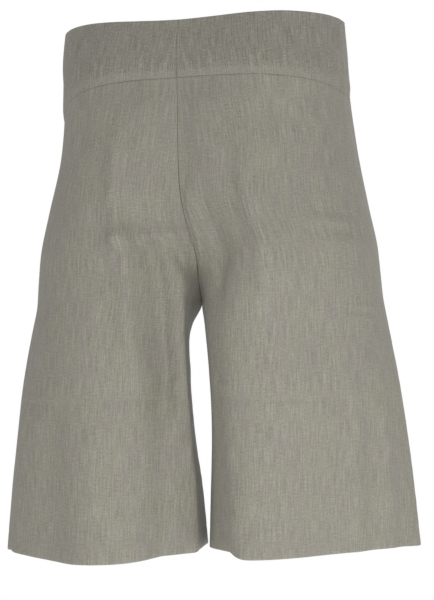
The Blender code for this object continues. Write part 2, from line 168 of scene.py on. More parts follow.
@dataclass(frozen=True)
class Half:
    """The left or right half of the shorts: the surface that its cloth follows, before it is worn."""

    name: str
    sign: int                               # +1 on the wearer's left, -1 on the right
    band_side: float                        # lower edge of the band at this side seam
    hem: tuple[tuple[float, float], ...]    # shares across a back panel, and the hem's lift at each
    back: tuple[Section, ...]

    def seam_height(self, side: Side, across: np.ndarray) -> np.ndarray:
        """Height of the band's lower edge; across is 0 at the side seam and 1 at the centre."""
        middle = BAND_LOWER_BACK if side is Side.BACK else BAND_LOWER_FRONT
        return middle + (self.band_side - middle) * (1.0 - across)**BAND_ARCH

    def hem_height(self, side: Side, across: np.ndarray) -> np.ndarray:
        """Height of the folded edge of the hem, which steps up behind a back's inner fold.

        Args:
            side: Back or front. The front's hem runs plainly between the back's two ends.
            across: How far across each point lies, 0 at the side seam and 1 at the inner edge.

        Returns:
            The height at each point, before the shorts are worn.
        """
        line = self.hem if side is Side.BACK else ((0.0, self.hem[0][1]), (1.0, self.hem[-1][1]))
        height = HEM + line[0][1]
        for (start, low), (end, high) in zip(line, line[1:]):
            height = height + (high - low) * smooth_step(start, end, across)
        return height

    def sections(self, side: Side, height: np.ndarray) -> dict[str, np.ndarray]:
        """The section's numbers at many heights.

        Args:
            side: Back or front.
            height: The heights, before the shorts are worn.

        Returns:
            One array for each field of Section.
        """
        found = self.between(self.back, height)
        if side is Side.FRONT:
            front = self.between(FRONT, height)
            front["side"], front["seam_x"] = found["side"], found["seam_x"]
            front["seam_y"] = np.where(height <= CROTCH, -found["seam_y"], front["seam_y"])
            found = front
        parted = np.maximum(found["seam_x"], 2 * HALF_GAP)
        found["seam_x"] = np.where(height >= CROTCH, 0.0, parted)
        return found

    @staticmethod
    def between(table: Sequence[Section], height: np.ndarray) -> dict[str, np.ndarray]:
        """Smooth curves through a table's rows, read at many heights.

        Args:
            table: Sections from the waist down.
            height: The heights.

        Returns:
            One array for each field of Section.
        """
        rows = np.array([section.row() for section in table])
        down = -rows[:, 0]
        slopes = np.gradient(rows, down, axis=0)
        here = np.clip(-height, down[0], down[-1])
        k = np.clip(np.searchsorted(down, here, side="right") - 1, 0, len(down) - 2)
        span = down[k + 1] - down[k]
        t = ((here - down[k]) / span)[:, None]
        span = span[:, None]
        start = (2 * t**3 - 3 * t**2 + 1) * rows[k] + (t**3 - 2 * t**2 + t) * span * slopes[k]
        end = (3 * t**2 - 2 * t**3) * rows[k + 1] + (t**3 - t**2) * span * slopes[k + 1]
        return dict(zip(Section.__dataclass_fields__, (start + end).T))

    def place(self, side: Side, across: np.ndarray, height: np.ndarray) -> "Place":
        """Where points of the cloth's outer face lie, on shorts that stand straight.

        Args:
            side: Back or front.
            across: How far across each point lies, 0 at the side seam and 1 at the inner edge.
            height: The height of each.

        Returns:
            The points, with the way out of the cloth and how far in each lies.
        """
        curves = self.curves(side, height)
        reached = curves.along[:, -1:] * across[:, None]
        k = np.clip((curves.along <= reached).sum(axis=1) - 1, 0, curves.along.shape[1] - 2)
        each = np.arange(len(height))
        step = curves.along[each, k + 1] - curves.along[each, k]
        at = k + (reached[:, 0] - curves.along[each, k]) / step
        inner = at >= CURVE_STEPS - 1
        t = np.where(inner, at - (CURVE_STEPS - 1), at) / (CURVE_STEPS - 1)
        corners = np.where(inner[:, None, None], curves.inner, curves.outer)
        point, run = cubic(corners, np.clip(t, 0.0, 1.0))
        run /= np.linalg.norm(run, axis=1, keepdims=True) + RUN_STEP
        out = np.stack((run[:, 1], -run[:, 0]), axis=1)
        mirror = np.array((self.sign, 1 if side is Side.BACK else -1))
        inwards = reached[:, 0] - curves.along[:, CURVE_STEPS - 1]
        return Place(np.column_stack((point * mirror, height)), out * mirror, inwards)

    def width(self, side: Side, height: np.ndarray) -> np.ndarray:
        """How wide the cloth is at each height, from the side seam to the inner edge."""
        return self.curves(side, height).along[:, -1]

    def curves(self, side: Side, height: np.ndarray) -> "Curves":
        """The two curves of the section at each height, and lengths measured along them.

        Args:
            side: Back or front.
            height: The heights.

        Returns:
            The corners of the curves, and the lengths.
        """
        s = self.sections(side, height)
        zero, one = np.zeros_like(height), np.ones_like(height)
        shoulder = s["crest"] + s["bow"] * (s["side"] - s["crest"])
        outer = stack_points(((s["side"], zero, one), (s["side"], s["bow"] * s["depth"], one),
                              (shoulder, s["depth"], one), (s["crest"], s["depth"], one)))
        lean = np.radians(s["angle"])
        leave_x, leave_y = s["seam_x"] + s["ease"] * np.cos(lean), s["seam_y"] + s["ease"] * np.sin(lean)
        inner = stack_points(((s["crest"], s["depth"], one), (s["turn"], s["depth"], s["hold"]),
                              (leave_x, leave_y, s["crisp"]), (s["seam_x"], s["seam_y"], one)))
        steps = np.linspace(0.0, 1.0, CURVE_STEPS)
        line = np.concatenate([cubic_line(outer, steps), cubic_line(inner, steps)[:, 1:]], axis=1)
        gaps = np.linalg.norm(np.diff(line, axis=1), axis=2)
        along = np.concatenate((np.zeros((len(height), 1)), np.cumsum(gaps, axis=1)), axis=1)
        return Curves(outer, inner, along)

    def kept_apart(self, points: np.ndarray) -> np.ndarray:
        """Points of this half's cloth, with none of them past the centre line."""
        x = self.sign * np.maximum(self.sign * points[:, 0], HALF_GAP)
        return np.column_stack((x, points[:, 1:]))


@dataclass(frozen=True)
class Place:
    """Points on the cloth."""

    point: np.ndarray    # the points, before the shorts are worn
    out: np.ndarray      # the level direction out of the cloth, x and y
    inwards: np.ndarray  # how far each lies from the panel's grain line, its crest, towards the inner edge

    def lifted(self, by: np.ndarray) -> np.ndarray:
        """The points, each moved out of the cloth by its own distance."""
        return self.point + np.column_stack((self.out, np.zeros(len(by)))) * by[:, None]


@dataclass(frozen=True)
class Curves:
    """The section of one half at many heights."""

    outer: np.ndarray    # four corners of the curve from side seam to crest
    inner: np.ndarray    # and of the curve from crest to inner edge
    along: np.ndarray    # lengths from the side seam to each measured point


def stack_points(corners: Sequence[tuple[np.ndarray, ...]]) -> np.ndarray:
    """The corners of many weighted curves, as an array of curve, corner, and x, y and pull.

    Args:
        corners: x, y and pull of each corner, an array apiece.

    Returns:
        The corners, with x and y multiplied by the pull.
    """
    return np.stack([np.stack((x * pull, y * pull, pull), axis=1) for x, y, pull in corners], axis=1)


def cubic(corners: np.ndarray, t: np.ndarray) -> tuple[np.ndarray, np.ndarray]:
    """A point on each of many weighted cubic curves, and the direction in which the curve runs there.

    Args:
        corners: The curves' corners, as stack_points gives them.
        t: How far along its curve each point is, 0 to 1.

    Returns:
        The points and the directions, x and y.
    """
    a, b, c, d = (corners[:, k] for k in range(4))
    t = t[:, None]
    full = a * (1 - t)**3 + 3 * b * t * (1 - t)**2 + 3 * c * t**2 * (1 - t) + d * t**3
    run = 3 * ((b - a) * (1 - t)**2 + 2 * (c - b) * t * (1 - t) + (d - c) * t**2)
    point = full[:, :2] / full[:, 2:]
    return point, (run[:, :2] - point * run[:, 2:]) / full[:, 2:]


def cubic_line(corners: np.ndarray, steps: np.ndarray) -> np.ndarray:
    """Each of many weighted cubic curves as a line of points.

    Args:
        corners: The curves' corners, as stack_points gives them.
        steps: How far along the curves the points are, 0 to 1.

    Returns:
        An array of curve, point, and x and y.
    """
    shares = np.stack(((1 - steps)**3, 3 * steps * (1 - steps)**2, 3 * steps**2 * (1 - steps), steps**3))
    full = np.einsum("kt,nkc->ntc", shares, corners)
    return full[:, :, :2] / full[:, :, 2:]


@dataclass(frozen=True)
class Wearing:
    """How the worn shorts stand: hips tilted, hems turned and swayed."""

    waist_tilt: float = 2.2      # degrees; the waist stands higher on the right than on the left
    hem_tilt: float = 1.0        # and the hems a little
    hem_turn: float = 8.0        # degrees by which the hems hang turned about the upright axis
    turn_top: float = -0.12      # the turn begins at this height
    turn_bottom: float = -0.42   # and is complete at this one
    waist_sway: float = 0.0027   # sideways sway of the waist, towards the left side
    sway_top: float = 0.03       # the waist's sway is complete at this height
    sway_bottom: float = -0.06   # and dies out at this one
    hip_sway: float = -0.002     # sideways sway of the hips, towards the right leg
    hem_sway: float = -0.003     # and of the hems
    seam_pull: float = -0.0078   # how far the seat's seam is pulled sideways, above the crotch
    pull_at: float = -0.212      # height of the middle of that pull
    pull_reach: float = 0.036    # how far up and down it reaches
    pull_width: float = 0.05     # and how far to each side
    pull_depth: float = 0.06     # y at which it is complete; the front has none of it

    def carry(self, points: np.ndarray) -> np.ndarray:
        """Moves points of straight shorts to where the worn ones have them.

        Args:
            points: The points.

        Returns:
            The same points, worn.
        """
        x, y, z = points.T
        pull = self.seam_pull * np.exp(-((z - self.pull_at) / self.pull_reach)**2 - (x / self.pull_width)**2)
        x = x + pull * smooth_step(0.0, self.pull_depth, y)
        turn = math.radians(self.hem_turn) * smooth_step(self.turn_top, self.turn_bottom, z)
        sway = (self.waist_sway * smooth_step(self.sway_bottom, self.sway_top, z)
                + self.hip_sway * smooth_step(0.0, self.turn_top, z)
                + (self.hem_sway - self.hip_sway) * smooth_step(CROTCH, HEM, z))
        tilt = np.radians(self.waist_tilt + (self.hem_tilt - self.waist_tilt) * smooth_step(0.0, HEM, z))
        return np.column_stack((x * np.cos(turn) - y * np.sin(turn) + sway,
                                x * np.sin(turn) + y * np.cos(turn), z - x * np.tan(tilt)))


@dataclass(frozen=True)
class Fold:
    """A soft ridge down a panel, or a trough where its depth is negative."""

    top: float                            # height at which it starts
    low: float                            # height at which it ends; RUN_OUT takes it through the hem
    places: tuple[float, float, float]    # its middle at start, half way and end, in from the grain line
    width: tuple[float, float]            # half its width at the start and at the end
    depth: tuple[float, float]            # how far its middle stands out of the cloth, likewise
    lean: float = 0.0                     # above 0 its inner slope is steeper, below 0 its outer one
    fade: float = 0.06                    # height over which it grows from nothing, and dies out

    def relief(self, inwards: np.ndarray, height: np.ndarray) -> np.ndarray:
        """How far this fold carries the cloth out at each point.

        Args:
            inwards: How far each point lies from the grain line, towards the inner edge.
            height: The height of each.

        Returns:
            The distance out of the cloth, in metres.
        """
        share = np.clip((self.top - height) / (self.top - self.low), 0.0, 1.0)
        start, half_way, end = self.places
        middle = (start * (1 - share) * (1 - 2 * share) + 4 * half_way * share * (1 - share)
                  + end * share * (2 * share - 1))
        off = inwards - middle
        reach = (self.width[0] + (self.width[1] - self.width[0]) * share) * (1.0 - self.lean * np.sign(off))
        depth = self.depth[0] + (self.depth[1] - self.depth[0]) * share
        begun = smooth_step(self.top, self.top - self.fade, height)
        left = smooth_step(self.low, self.low + self.fade, height)
        return depth * begun * left * np.exp(-(off / reach)**2)


@dataclass(frozen=True)
class Crease:
    """A short line in the cloth: a furrow with a lip along its left, seen from its start."""

    start: tuple[float, float]    # how far from the grain line it starts, and at what height
    end: tuple[float, float]      # and where it ends
    depth: float
    width: float                  # half the furrow's width
    lip: float = 0.6              # height of the lip, as a share of the depth
    lip_off: float = 2.0          # how far from the furrow's middle the lip is, in half widths

    def relief(self, inwards: np.ndarray, height: np.ndarray) -> np.ndarray:
        """How far this crease carries the cloth out at each point.

        Args:
            inwards: How far each point lies from the grain line, towards the inner edge.
            height: The height of each.

        Returns:
            The distance out of the cloth, in metres.
        """
        run_x, run_z = self.end[0] - self.start[0], self.end[1] - self.start[1]
        length = math.hypot(run_x, run_z)
        from_x, from_z = inwards - self.start[0], height - self.start[1]
        share = np.clip((from_x * run_x + from_z * run_z) / length**2, 0.0, 1.0)
        off = (from_z * run_x - from_x * run_z) / length / self.width
        furrow = np.exp(-off**2) - self.lip * np.exp(-(off - self.lip_off)**2)
        return -self.depth * furrow * np.sin(math.pi * share)


RUN_OUT = -0.62     # a fold that ends here runs out through the hem

FOLDS = {
    ("back", "left"): (
        Fold(-0.026, -0.18, (0.034, 0.034, 0.038), (0.030, 0.032), (0.0068, 0.0040), fade=0.035),
        Fold(-0.14, -0.41, (0.029, 0.072, 0.081), (0.010, 0.017), (-0.0055, -0.0185), lean=0.33, fade=0.06),
        Fold(-0.35, RUN_OUT, (0.080, 0.082, 0.092), (0.012, 0.014), (-0.0050, -0.0070), lean=0.3),
        Fold(-0.05, -0.36, (0.010, 0.024, 0.048), (0.010, 0.012), (0.0060, 0.0080)),
        Fold(-0.17, RUN_OUT, (0.030, 0.026, 0.024), (0.026, 0.038), (0.0045, 0.0090), lean=-0.3),
        Fold(-0.355, RUN_OUT, (-0.050, -0.050, -0.050), (0.024, 0.028), (-0.0070, -0.0085), fade=0.03),
        Fold(-0.355, RUN_OUT, (-0.104, -0.108, -0.112), (0.018, 0.022), (0.0040, 0.0055), fade=0.03),
    ),
    ("back", "right"): (
        Fold(-0.120, RUN_OUT, (-0.010, -0.012, -0.014), (0.040, 0.044), (0.0040, 0.0040), fade=0.05),
        Fold(-0.026, -0.18, (0.036, 0.036, 0.040), (0.026, 0.028), (0.0066, 0.0040), fade=0.035),
        Fold(-0.06, -0.28, (0.020, 0.000, 0.004), (0.010, 0.012), (0.0072, 0.0082)),
        Fold(-0.18, RUN_OUT, (0.018, 0.018, 0.008), (0.024, 0.026), (0.0053, 0.0070)),
        Fold(-0.12, -0.28, (0.046, 0.058, 0.062), (0.016, 0.017), (-0.0070, -0.0050), lean=0.35, fade=0.05),
        Fold(-0.13, -0.24, (0.070, 0.083, 0.108), (0.0026, 0.0030), (0.0050, 0.0080), fade=0.03),
        Fold(-0.02, -0.36, (-0.040, -0.046, -0.054), (0.030, 0.034), (-0.0060, -0.0060)),
        Fold(-0.34, RUN_OUT, (-0.100, -0.104, -0.108), (0.010, 0.016), (0.0035, 0.0040), fade=0.03),
        Fold(-0.36, RUN_OUT, (-0.140, -0.146, -0.150), (0.010, 0.016), (0.0035, 0.0040), fade=0.03),
    ),
    ("front", "left"): (
        Fold(-0.12, RUN_OUT, (0.000, 0.004, 0.008), (0.026, 0.032), (0.0050, 0.0085)),
        Fold(-0.22, RUN_OUT, (-0.060, -0.064, -0.068), (0.024, 0.030), (-0.0045, -0.0080)),
        Fold(-0.16, -0.44, (0.040, 0.056, 0.060), (0.010, 0.014), (-0.0045, -0.0090), fade=0.05),
    ),
    ("front", "right"): (
        Fold(-0.14, RUN_OUT, (-0.008, -0.004, 0.000), (0.026, 0.030), (0.0050, 0.0080)),
        Fold(-0.20, RUN_OUT, (-0.072, -0.066, -0.060), (0.022, 0.028), (-0.0045, -0.0075)),
        Fold(-0.18, -0.42, (0.044, 0.052, 0.054), (0.011, 0.015), (-0.0040, -0.0080), fade=0.05),
    ),
}
CREASES = {
    ("back", "left"): (
        Crease((0.066, -0.095), (0.090, -0.215), 0.0014, 0.0030),
        Crease((0.018, -0.156), (0.084, -0.160), 0.0010, 0.0030),
        Crease((0.034, -0.120), (0.058, -0.158), 0.0009, 0.0028),
        Crease((0.060, -0.170), (0.090, -0.235), 0.0012, 0.0035),
        Crease((-0.130, -0.368), (-0.018, -0.372), 0.0014, 0.0032),
        Crease((0.020, -0.368), (0.100, -0.366), 0.0008, 0.0030),
    ),
    ("back", "right"): (
        Crease((0.070, -0.085), (0.078, -0.190), 0.0014, 0.0030),
        Crease((0.074, -0.335), (0.036, -0.352), 0.0016, 0.0045),
        Crease((0.080, -0.215), (0.050, -0.262), 0.0014, 0.0035),
        Crease((-0.150, -0.282), (-0.082, -0.277), 0.0012, 0.0030),
        Crease((-0.050, -0.172), (-0.150, -0.178), 0.0007, 0.0045),
        Crease((-0.045, -0.192), (-0.140, -0.196), 0.0006, 0.0050),
        Crease((-0.075, -0.318), (-0.076, -0.372), 0.0010, 0.0035),
        Crease((0.050, -0.366), (-0.130, -0.372), 0.0008, 0.0030),
    ),
    ("front", "left"): (
        Crease((-0.110, -0.362), (-0.010, -0.368), 0.0012, 0.0032),
        Crease((0.030, -0.140), (0.085, -0.215), 0.0012, 0.0035),
    ),
    ("front", "right"): (
        Crease((-0.120, -0.366), (-0.020, -0.372), 0.0012, 0.0032),
        Crease((0.028, -0.150), (0.084, -0.222), 0.0012, 0.0035),
    ),
}


@dataclass(frozen=True)
class Crumple:
    """The small unevenness of linen that has been worn: long soft waves, and puckers along its seams."""

    seed: float                    # which stretch of cloth this is
    wave: float = 0.0007           # how far a wave stands out
    wave_across: float = 0.020     # its size across the panel
    wave_down: float = 0.085       # and down it
    pucker: float = 0.00035        # how far a pucker stands out
    pucker_along: float = 0.011    # its length along the seam
    pucker_reach: float = 0.009    # how far from the seam it dies out
    edge_fade: float = 0.020       # width by the seams over which waves and folds grow
    fall: float = 1.0              # how much fainter each finer layer of the noise is
    finer: float = 2.0             # and how much finer

    def relief(self, cut: np.ndarray, from_seam: np.ndarray) -> np.ndarray:
        """How far the unevenness carries the cloth out at each point.

        Args:
            cut: Places in the flat cut, in metres.
            from_seam: How far each is from the nearest seam.

        Returns:
            The distance out of the cloth, in metres.
        """
        scale = np.array((self.wave_across, self.wave_down))
        waves = self.read(cut / scale, octaves=2) * smooth_step(0.0, self.edge_fade, from_seam)
        puckers = self.read(cut[:, ::-1] / self.pucker_along, octaves=1)
        return self.wave * waves + self.pucker * (puckers * np.exp(-from_seam / self.pucker_reach))

    def read(self, places: np.ndarray, octaves: int) -> np.ndarray:
        """Even noise of about -1 to 1 at each place.

        Args:
            places: Two numbers for each place, in sizes of the noise's patches.
            octaves: How many layers of noise, each finer than the one before.

        Returns:
            The noise.
        """
        return np.array([noise.fractal(Vector((u, v, self.seed)), self.fall, self.finer, octaves)
                         for u, v in places])


@dataclass(frozen=True)
class Turning:
    """An edge that turns in over a seam or a hem, seen end on: a quarter turn, and what lies beyond it."""

    radius: float              # of the outer face round the fold
    allowance: float = 0.0     # how far the cloth runs back under itself, 0 for a quarter turn only
    bends: int = 3             # steps in each quarter turn
    runs: int = 4              # steps in the allowance

    def quarter(self) -> np.ndarray:
        """The stations of the quarter turn, from the edge inwards.

        Returns:
            For each, its distance in from the edge, its depth under the face, and the cloth from it to the
            flat face.
        """
        angle = np.linspace(math.pi / 2, 0.0, self.bends + 1)
        return np.column_stack((self.radius * (1 - np.sin(angle)), self.radius * (1 - np.cos(angle)),
                                self.radius * angle))

    def beyond(self) -> np.ndarray:
        """The stations of the second quarter turn and the allowance, from the cloth's cut end outwards.

        Returns:
            For each, its distance in from the edge, its depth under the first quarter turn, and the cloth
            from it to that turn.
        """
        if not self.allowance:
            return np.zeros((0, 3))
        angle = np.linspace(math.pi / 2, math.pi, self.bends + 1)[1:]
        bend = np.column_stack((self.radius * (1 - np.sin(angle)), -self.radius * np.cos(angle),
                                self.radius * (angle - math.pi / 2)))
        flat = np.linspace(0.0, self.allowance, self.runs + 1)[1:]
        lie = np.column_stack((self.radius + flat, np.full(self.runs, self.radius),
                               self.radius * math.pi / 2 + flat))
        return np.concatenate((bend, lie))[::-1]


@dataclass(frozen=True)
class Grid:
    """Stations across or down a piece of cloth, from one edge to the other."""

    share: np.ndarray         # 0 to 1 over the piece
    shift: np.ndarray         # metres in from the edge on the quarter turn, signed along the share
    depth: np.ndarray         # metres under the outer face there
    more_shift: np.ndarray    # metres in from the edge beyond that turn, signed likewise
    more_depth: np.ndarray    # and metres under the turn
    gone: np.ndarray          # metres of cloth past the flat face, signed along the share

    @classmethod
    def across(cls, start: Turning, end: Turning, steps: int, crowd: float) -> "Grid":
        """Stations from one edge to the other.

        Args:
            start: How the cloth turns at the edge where the share is 0.
            end: How it turns at the other.
            steps: How many steps lie between the two turns.
            crowd: How much closer the steps are at the edges, 0 to 1.

        Returns:
            The stations in order.
        """
        even = np.linspace(0.0, 1.0, steps + 1)[1:-1]
        middle = even - crowd * np.sin(math.tau * even) / math.tau
        first, last = cls.edge(start, 0.0, 1.0), cls.edge(end, 1.0, -1.0)
        inner_shift = start.radius * (1 - middle) - end.radius * middle
        blank = np.zeros(len(middle))
        body = (middle, inner_shift, blank, blank, blank, blank)
        return cls(*(np.concatenate((a, b, c[::-1])) for a, b, c in zip(first, body, last)))

    @staticmethod
    def edge(turning: Turning, share: float, sign: float) -> tuple[np.ndarray, ...]:
        """Stations at one edge, from the cloth's cut end to where it lies flat.

        Args:
            turning: How the cloth turns there.
            share: 0 or 1, the share at that edge.
            sign: 1 where the share grows inwards from the edge, and -1 where it falls.

        Returns:
            One array for each field of Grid.
        """
        beyond, quarter = turning.beyond(), turning.quarter()
        hidden, bent = np.zeros(len(beyond)), np.zeros(len(quarter))
        return (np.full(len(beyond) + len(quarter), share),
                np.concatenate((hidden, quarter[:, 0])) * sign,
                np.concatenate((hidden + turning.radius, quarter[:, 1])),
                np.concatenate((beyond[:, 0], bent)) * sign,
                np.concatenate((beyond[:, 1], bent)),
                np.concatenate((beyond[:, 2], quarter[:, 2])) * -sign)


class Wire:
    """A shader socket that takes part in sums, so that an expression on values adds its Math nodes."""

    def __init__(self, bench: "Bench", socket: bpy.types.NodeSocket | None) -> None:
        """Takes the tree's bench and the output socket; a node with no output gives None."""
        self.bench = bench
        self.socket = socket

    def do(self, operation: str, *others: Any) -> "Wire":
        """The result of a Math node on this value and the others.

        Args:
            operation: The Math node's operation.
            others: Its further values, numbers or wires.

        Returns:
            The result.
        """
        values = {k + 1: other for k, other in enumerate(others)}
        return self.bench.node("ShaderNodeMath", {"operation": operation}, {0: self, **values})

    def __add__(self, other: Any) -> "Wire":
        """This value plus another."""
        return self.do("ADD", other)

    def __mul__(self, other: Any) -> "Wire":
        """This value times another."""
        return self.do("MULTIPLY", other)

    def __rsub__(self, other: float) -> "Wire":
        """A number less this value."""
        return (self * -1.0) + other

    __radd__ = __add__
    __rmul__ = __mul__

    def ramp(self, low: float, high: float) -> "Wire":
        """A value that rises smoothly from 0 to 1 while this one goes from low to high."""
        settings = {"interpolation_type": "SMOOTHSTEP", "clamp": True}
        span = {"Value": self, "From Min": low, "From Max": high}
        return self.bench.node("ShaderNodeMapRange", settings, span)

    def beside(self, output: str) -> "Wire":
        """Another output of the same node."""
        return Wire(self.bench, self.socket.node.outputs[output])


class Bench:
    """Makes one material's or the world's nodes."""

    MIX_SHARE, MIX_FIRST, MIX_SECOND = 0, 6, 7    # a Mix node's inputs when it mixes colours
    MIX_RESULT = 2                                # and its output

    def __init__(self, tree: bpy.types.NodeTree) -> None:
        """Takes a node tree and empties it."""
        self.tree = tree
        tree.nodes.clear()

    def node(self, kind: str, settings: dict[str, Any], sockets: dict[Any, Any], output: Any = 0) -> Wire:
        """Adds a node.

        Args:
            kind: The node's type.
            settings: Properties of the node, set first.
            sockets: A value or a wire for each input, by name or number.
            output: Which output is wanted, by name or number.

        Returns:
            The output, ready for more sums.
        """
        made = self.tree.nodes.new(kind)
        for name, value in settings.items():
            setattr(made, name, value)
        for name, value in sockets.items():
            if isinstance(value, Wire):
                self.tree.links.new(value.socket, made.inputs[name])
            else:
                made.inputs[name].default_value = value
        return Wire(self, made.outputs[output] if len(made.outputs) else None)

    def noise(self, place: Wire, across: float, down: float, detail: float = 2.0, rough: float = 0.5) -> Wire:
        """Cloudy noise of 0 to 1.

        Args:
            place: Where on the cloth, in metres.
            across: About how many patches there are to the metre across the cloth.
            down: And down it.
            detail: How many finer layers the noise has.
            rough: How strong those are.

        Returns:
            The noise.
        """
        scaled = self.node("ShaderNodeMapping", {"vector_type": "POINT"},
                           {"Vector": place, "Scale": (across, down, 1.0)})
        return self.node("ShaderNodeTexNoise", {"noise_dimensions": "3D"},
                         {"Vector": scaled, "Scale": 1.0, "Detail": detail, "Roughness": rough}, "Fac")

    def blend(self, share: Any, first: Any, second: Any, how: str = "MIX") -> Wire:
        """A colour between two.

        Args:
            share: How much of the second there is, 0 to 1.
            first: The first colour.
            second: The second.
            how: The Mix node's way of mixing.

        Returns:
            The colour.
        """
        sockets = {self.MIX_SHARE: share, self.MIX_FIRST: first, self.MIX_SECOND: second}
        return self.node("ShaderNodeMix", {"data_type": "RGBA", "blend_type": how}, sockets, self.MIX_RESULT)


Pair = tuple[float, float]
Colour = tuple[float, float, float]
Four = tuple[float, float, float, float]


@dataclass(frozen=True)
class LinenFinish:
    """Matte plain-weave linen: crossed threads with slubs, in two close shades of grey khaki."""

    name: str
    shade: Colour                    # the cloth's middle colour
    contrast: float = 0.33           # how much darker than that its dark threads are
    paleness: float = 0.87           # how much paler the pale ones are, as a share of the contrast
    thread: float = 0.0009           # from one thread to the next
    slub_width: float = 0.0013       # thickness of a slub in the warp
    slub_length: float = 0.026       # its length
    weft_shorter: float = 2.2        # how many times shorter a slub in the weft is
    weft_thinner: float = 1.1        # and how many times thinner
    slub_detail: float = 3.0         # finer layers in the slubs' noise
    slub_rough: float = 0.6          # and how strong those are
    warp_span: Pair = (0.34, 0.68)   # levels of its noise between which a slub in the warp swells
    weft_span: Pair = (0.36, 0.70)   # and one in the weft
    crossing: float = 0.3            # how far from a thread's crossing it dips under the next
    specks: Pair = (620.0, 520.0)    # dark and pale specks to the metre, across and down
    speck_span: Pair = (0.34, 0.66)  # levels of their noise from dark to pale
    patches: Pair = (42.0, 20.0)     # broad cooler patches to the metre, across and down
    patch_span: Pair = (0.35, 0.65)  # levels of their noise from none to full
    cooler: Colour = (0.985, 0.96, 1.015)    # what a full patch multiplies the colour by
    worn: Colour = (1.22, 1.22, 1.24)        # what the palest place multiplies the middle colour by: full wear, and the painted highlight on the back band
    pale_share: float = 0.35         # how far the palest place goes to that
    roughness: float = 0.86
    slub_gloss: float = 0.05         # how much less rough a slub is
    rough_patches: float = 60.0      # rougher and smoother patches to the metre
    rough_swing: float = 0.08        # how much they differ
    specular: float = 0.25
    sheen: float = 0.12
    sheen_roughness: float = 0.45
    bump: float = 0.35               # strength of the weave's relief
    bump_height: float = 0.0003      # and its height
    tones: Four = (0.42, 0.22, 0.27, 0.09)    # part of warp slubs, weft slubs, specks and weave in the tone
    heights: tuple[float, float, float] = (0.6, 0.45, 0.45)    # of warp slubs, weft slubs and weave

    def material(self) -> bpy.types.Material:
        """Makes the cloth's material.

        Returns:
            The material.
        """
        made = bpy.data.materials.new(self.name)
        made.use_nodes = True
        bench = Bench(made.node_tree)
        place = bench.node("ShaderNodeUVMap", {"uv_map": "cut"}, {})
        warp_slubs, weft_slubs = self.slubs(bench, place)
        weave = self.weave(bench, place)
        colour = self.colour(bench, place, warp_slubs, weft_slubs, weave)
        warp, weft, crossed = self.heights
        height = weave * crossed + warp_slubs * warp + weft_slubs * weft
        relief = {"Strength": self.bump, "Distance": self.bump_height, "Height": height}
        bump = bench.node("ShaderNodeBump", {}, relief, "Normal")
        swing = bench.noise(place, self.rough_patches, self.rough_patches) * self.rough_swing
        rough = warp_slubs * -self.slub_gloss + swing + (self.roughness - self.rough_swing / 2)
        shader = bench.node("ShaderNodeBsdfPrincipled", {}, {
            "Base Color": colour, "Roughness": rough, "Metallic": 0.0, "Specular IOR Level": self.specular,
            "Sheen Weight": self.sheen, "Sheen Roughness": self.sheen_roughness, "Normal": bump})
        bench.node("ShaderNodeOutputMaterial", {}, {"Surface": shader})
        return made

    def slubs(self, bench: Bench, place: Wire) -> tuple[Wire, Wire]:
        """Thick and thin places in the threads.

        Args:
            bench: Where the nodes are made.
            place: Where on the cloth.

        Returns:
            The warp's slubs and the weft's, 1 on a thick place and 0 on a thin one.
        """
        thin, long = 1.0 / self.slub_width, 1.0 / self.slub_length
        across, down = long * self.weft_shorter, thin * self.weft_thinner
        warp = bench.noise(place, thin, long, self.slub_detail, self.slub_rough)
        weft = bench.noise(place, across, down, self.slub_detail, self.slub_rough)
        return warp.ramp(*self.warp_span), weft.ramp(*self.weft_span)

    def weave(self, bench: Bench, place: Wire) -> Wire:
        """The crossed threads of a plain weave.

        Args:
            bench: Where the nodes are made.
            place: Where on the cloth.

        Returns:
            0 between the threads and 1 on top of them.
        """
        across = bench.node("ShaderNodeSeparateXYZ", {}, {0: place}, "X")
        down = across.beside("Y")
        turns = math.pi / self.thread
        warp = (across * turns).do("SINE").do("ABSOLUTE")
        weft = (down * turns).do("SINE").do("ABSOLUTE")
        beat = (across * turns).do("COSINE") * (down * turns).do("COSINE")
        over = beat.ramp(-self.crossing, self.crossing)
        return warp * over + weft * (1.0 - over)

    def colour(self, bench: Bench, place: Wire, warp_slubs: Wire, weft_slubs: Wire, weave: Wire) -> Wire:
        """The cloth's colour: light and dark threads, broad soft patches, paler worn edges, and the painted
        highlight on the back band.

        Args:
            bench: Where the nodes are made.
            place: Where on the cloth.
            warp_slubs: The warp's slubs.
            weft_slubs: The weft's.
            weave: The crossed threads.

        Returns:
            The colour.
        """
        low, high = 1.0 - self.contrast, 1.0 + self.paleness * self.contrast
        specks = bench.noise(place, *self.specks, detail=1.0).ramp(*self.speck_span)
        warp, weft, fine, crossed = self.tones
        threads = warp_slubs * warp + weft_slubs * weft + specks * fine + weave * crossed
        cloth = bench.blend(threads, self.tinted((low, low, low)), self.tinted((high, high, high)))
        patch = bench.noise(place, *self.patches).ramp(*self.patch_span)
        cool = bench.blend(patch, cloth, (*self.cooler, 1.0), "MULTIPLY")
        # The edge attribute brings both worn edges and, on the back band, painted highlight above its lower
        # seam.
        pale_lookup = {"attribute_name": "edge", "attribute_type": "GEOMETRY"}
        edge = bench.node("ShaderNodeAttribute", pale_lookup, {}, "Fac")
        return bench.blend(edge * self.pale_share, cool, self.tinted(self.worn))

    def tinted(self, by: Colour) -> Four:
        """The cloth's middle colour, each part of it multiplied by a number."""
        return tuple(a * b for a, b in zip(self.shade, by)) + (1.0,)


@dataclass(frozen=True)
class Cut:
    """The flat cut of one piece of cloth, with its allowances."""

    width: float     # of the rectangle it is cut from, across the cloth
    length: float    # and along it
    area: float      # flat area of the piece
    seed: float      # which stretch of cloth it is, for its unevenness


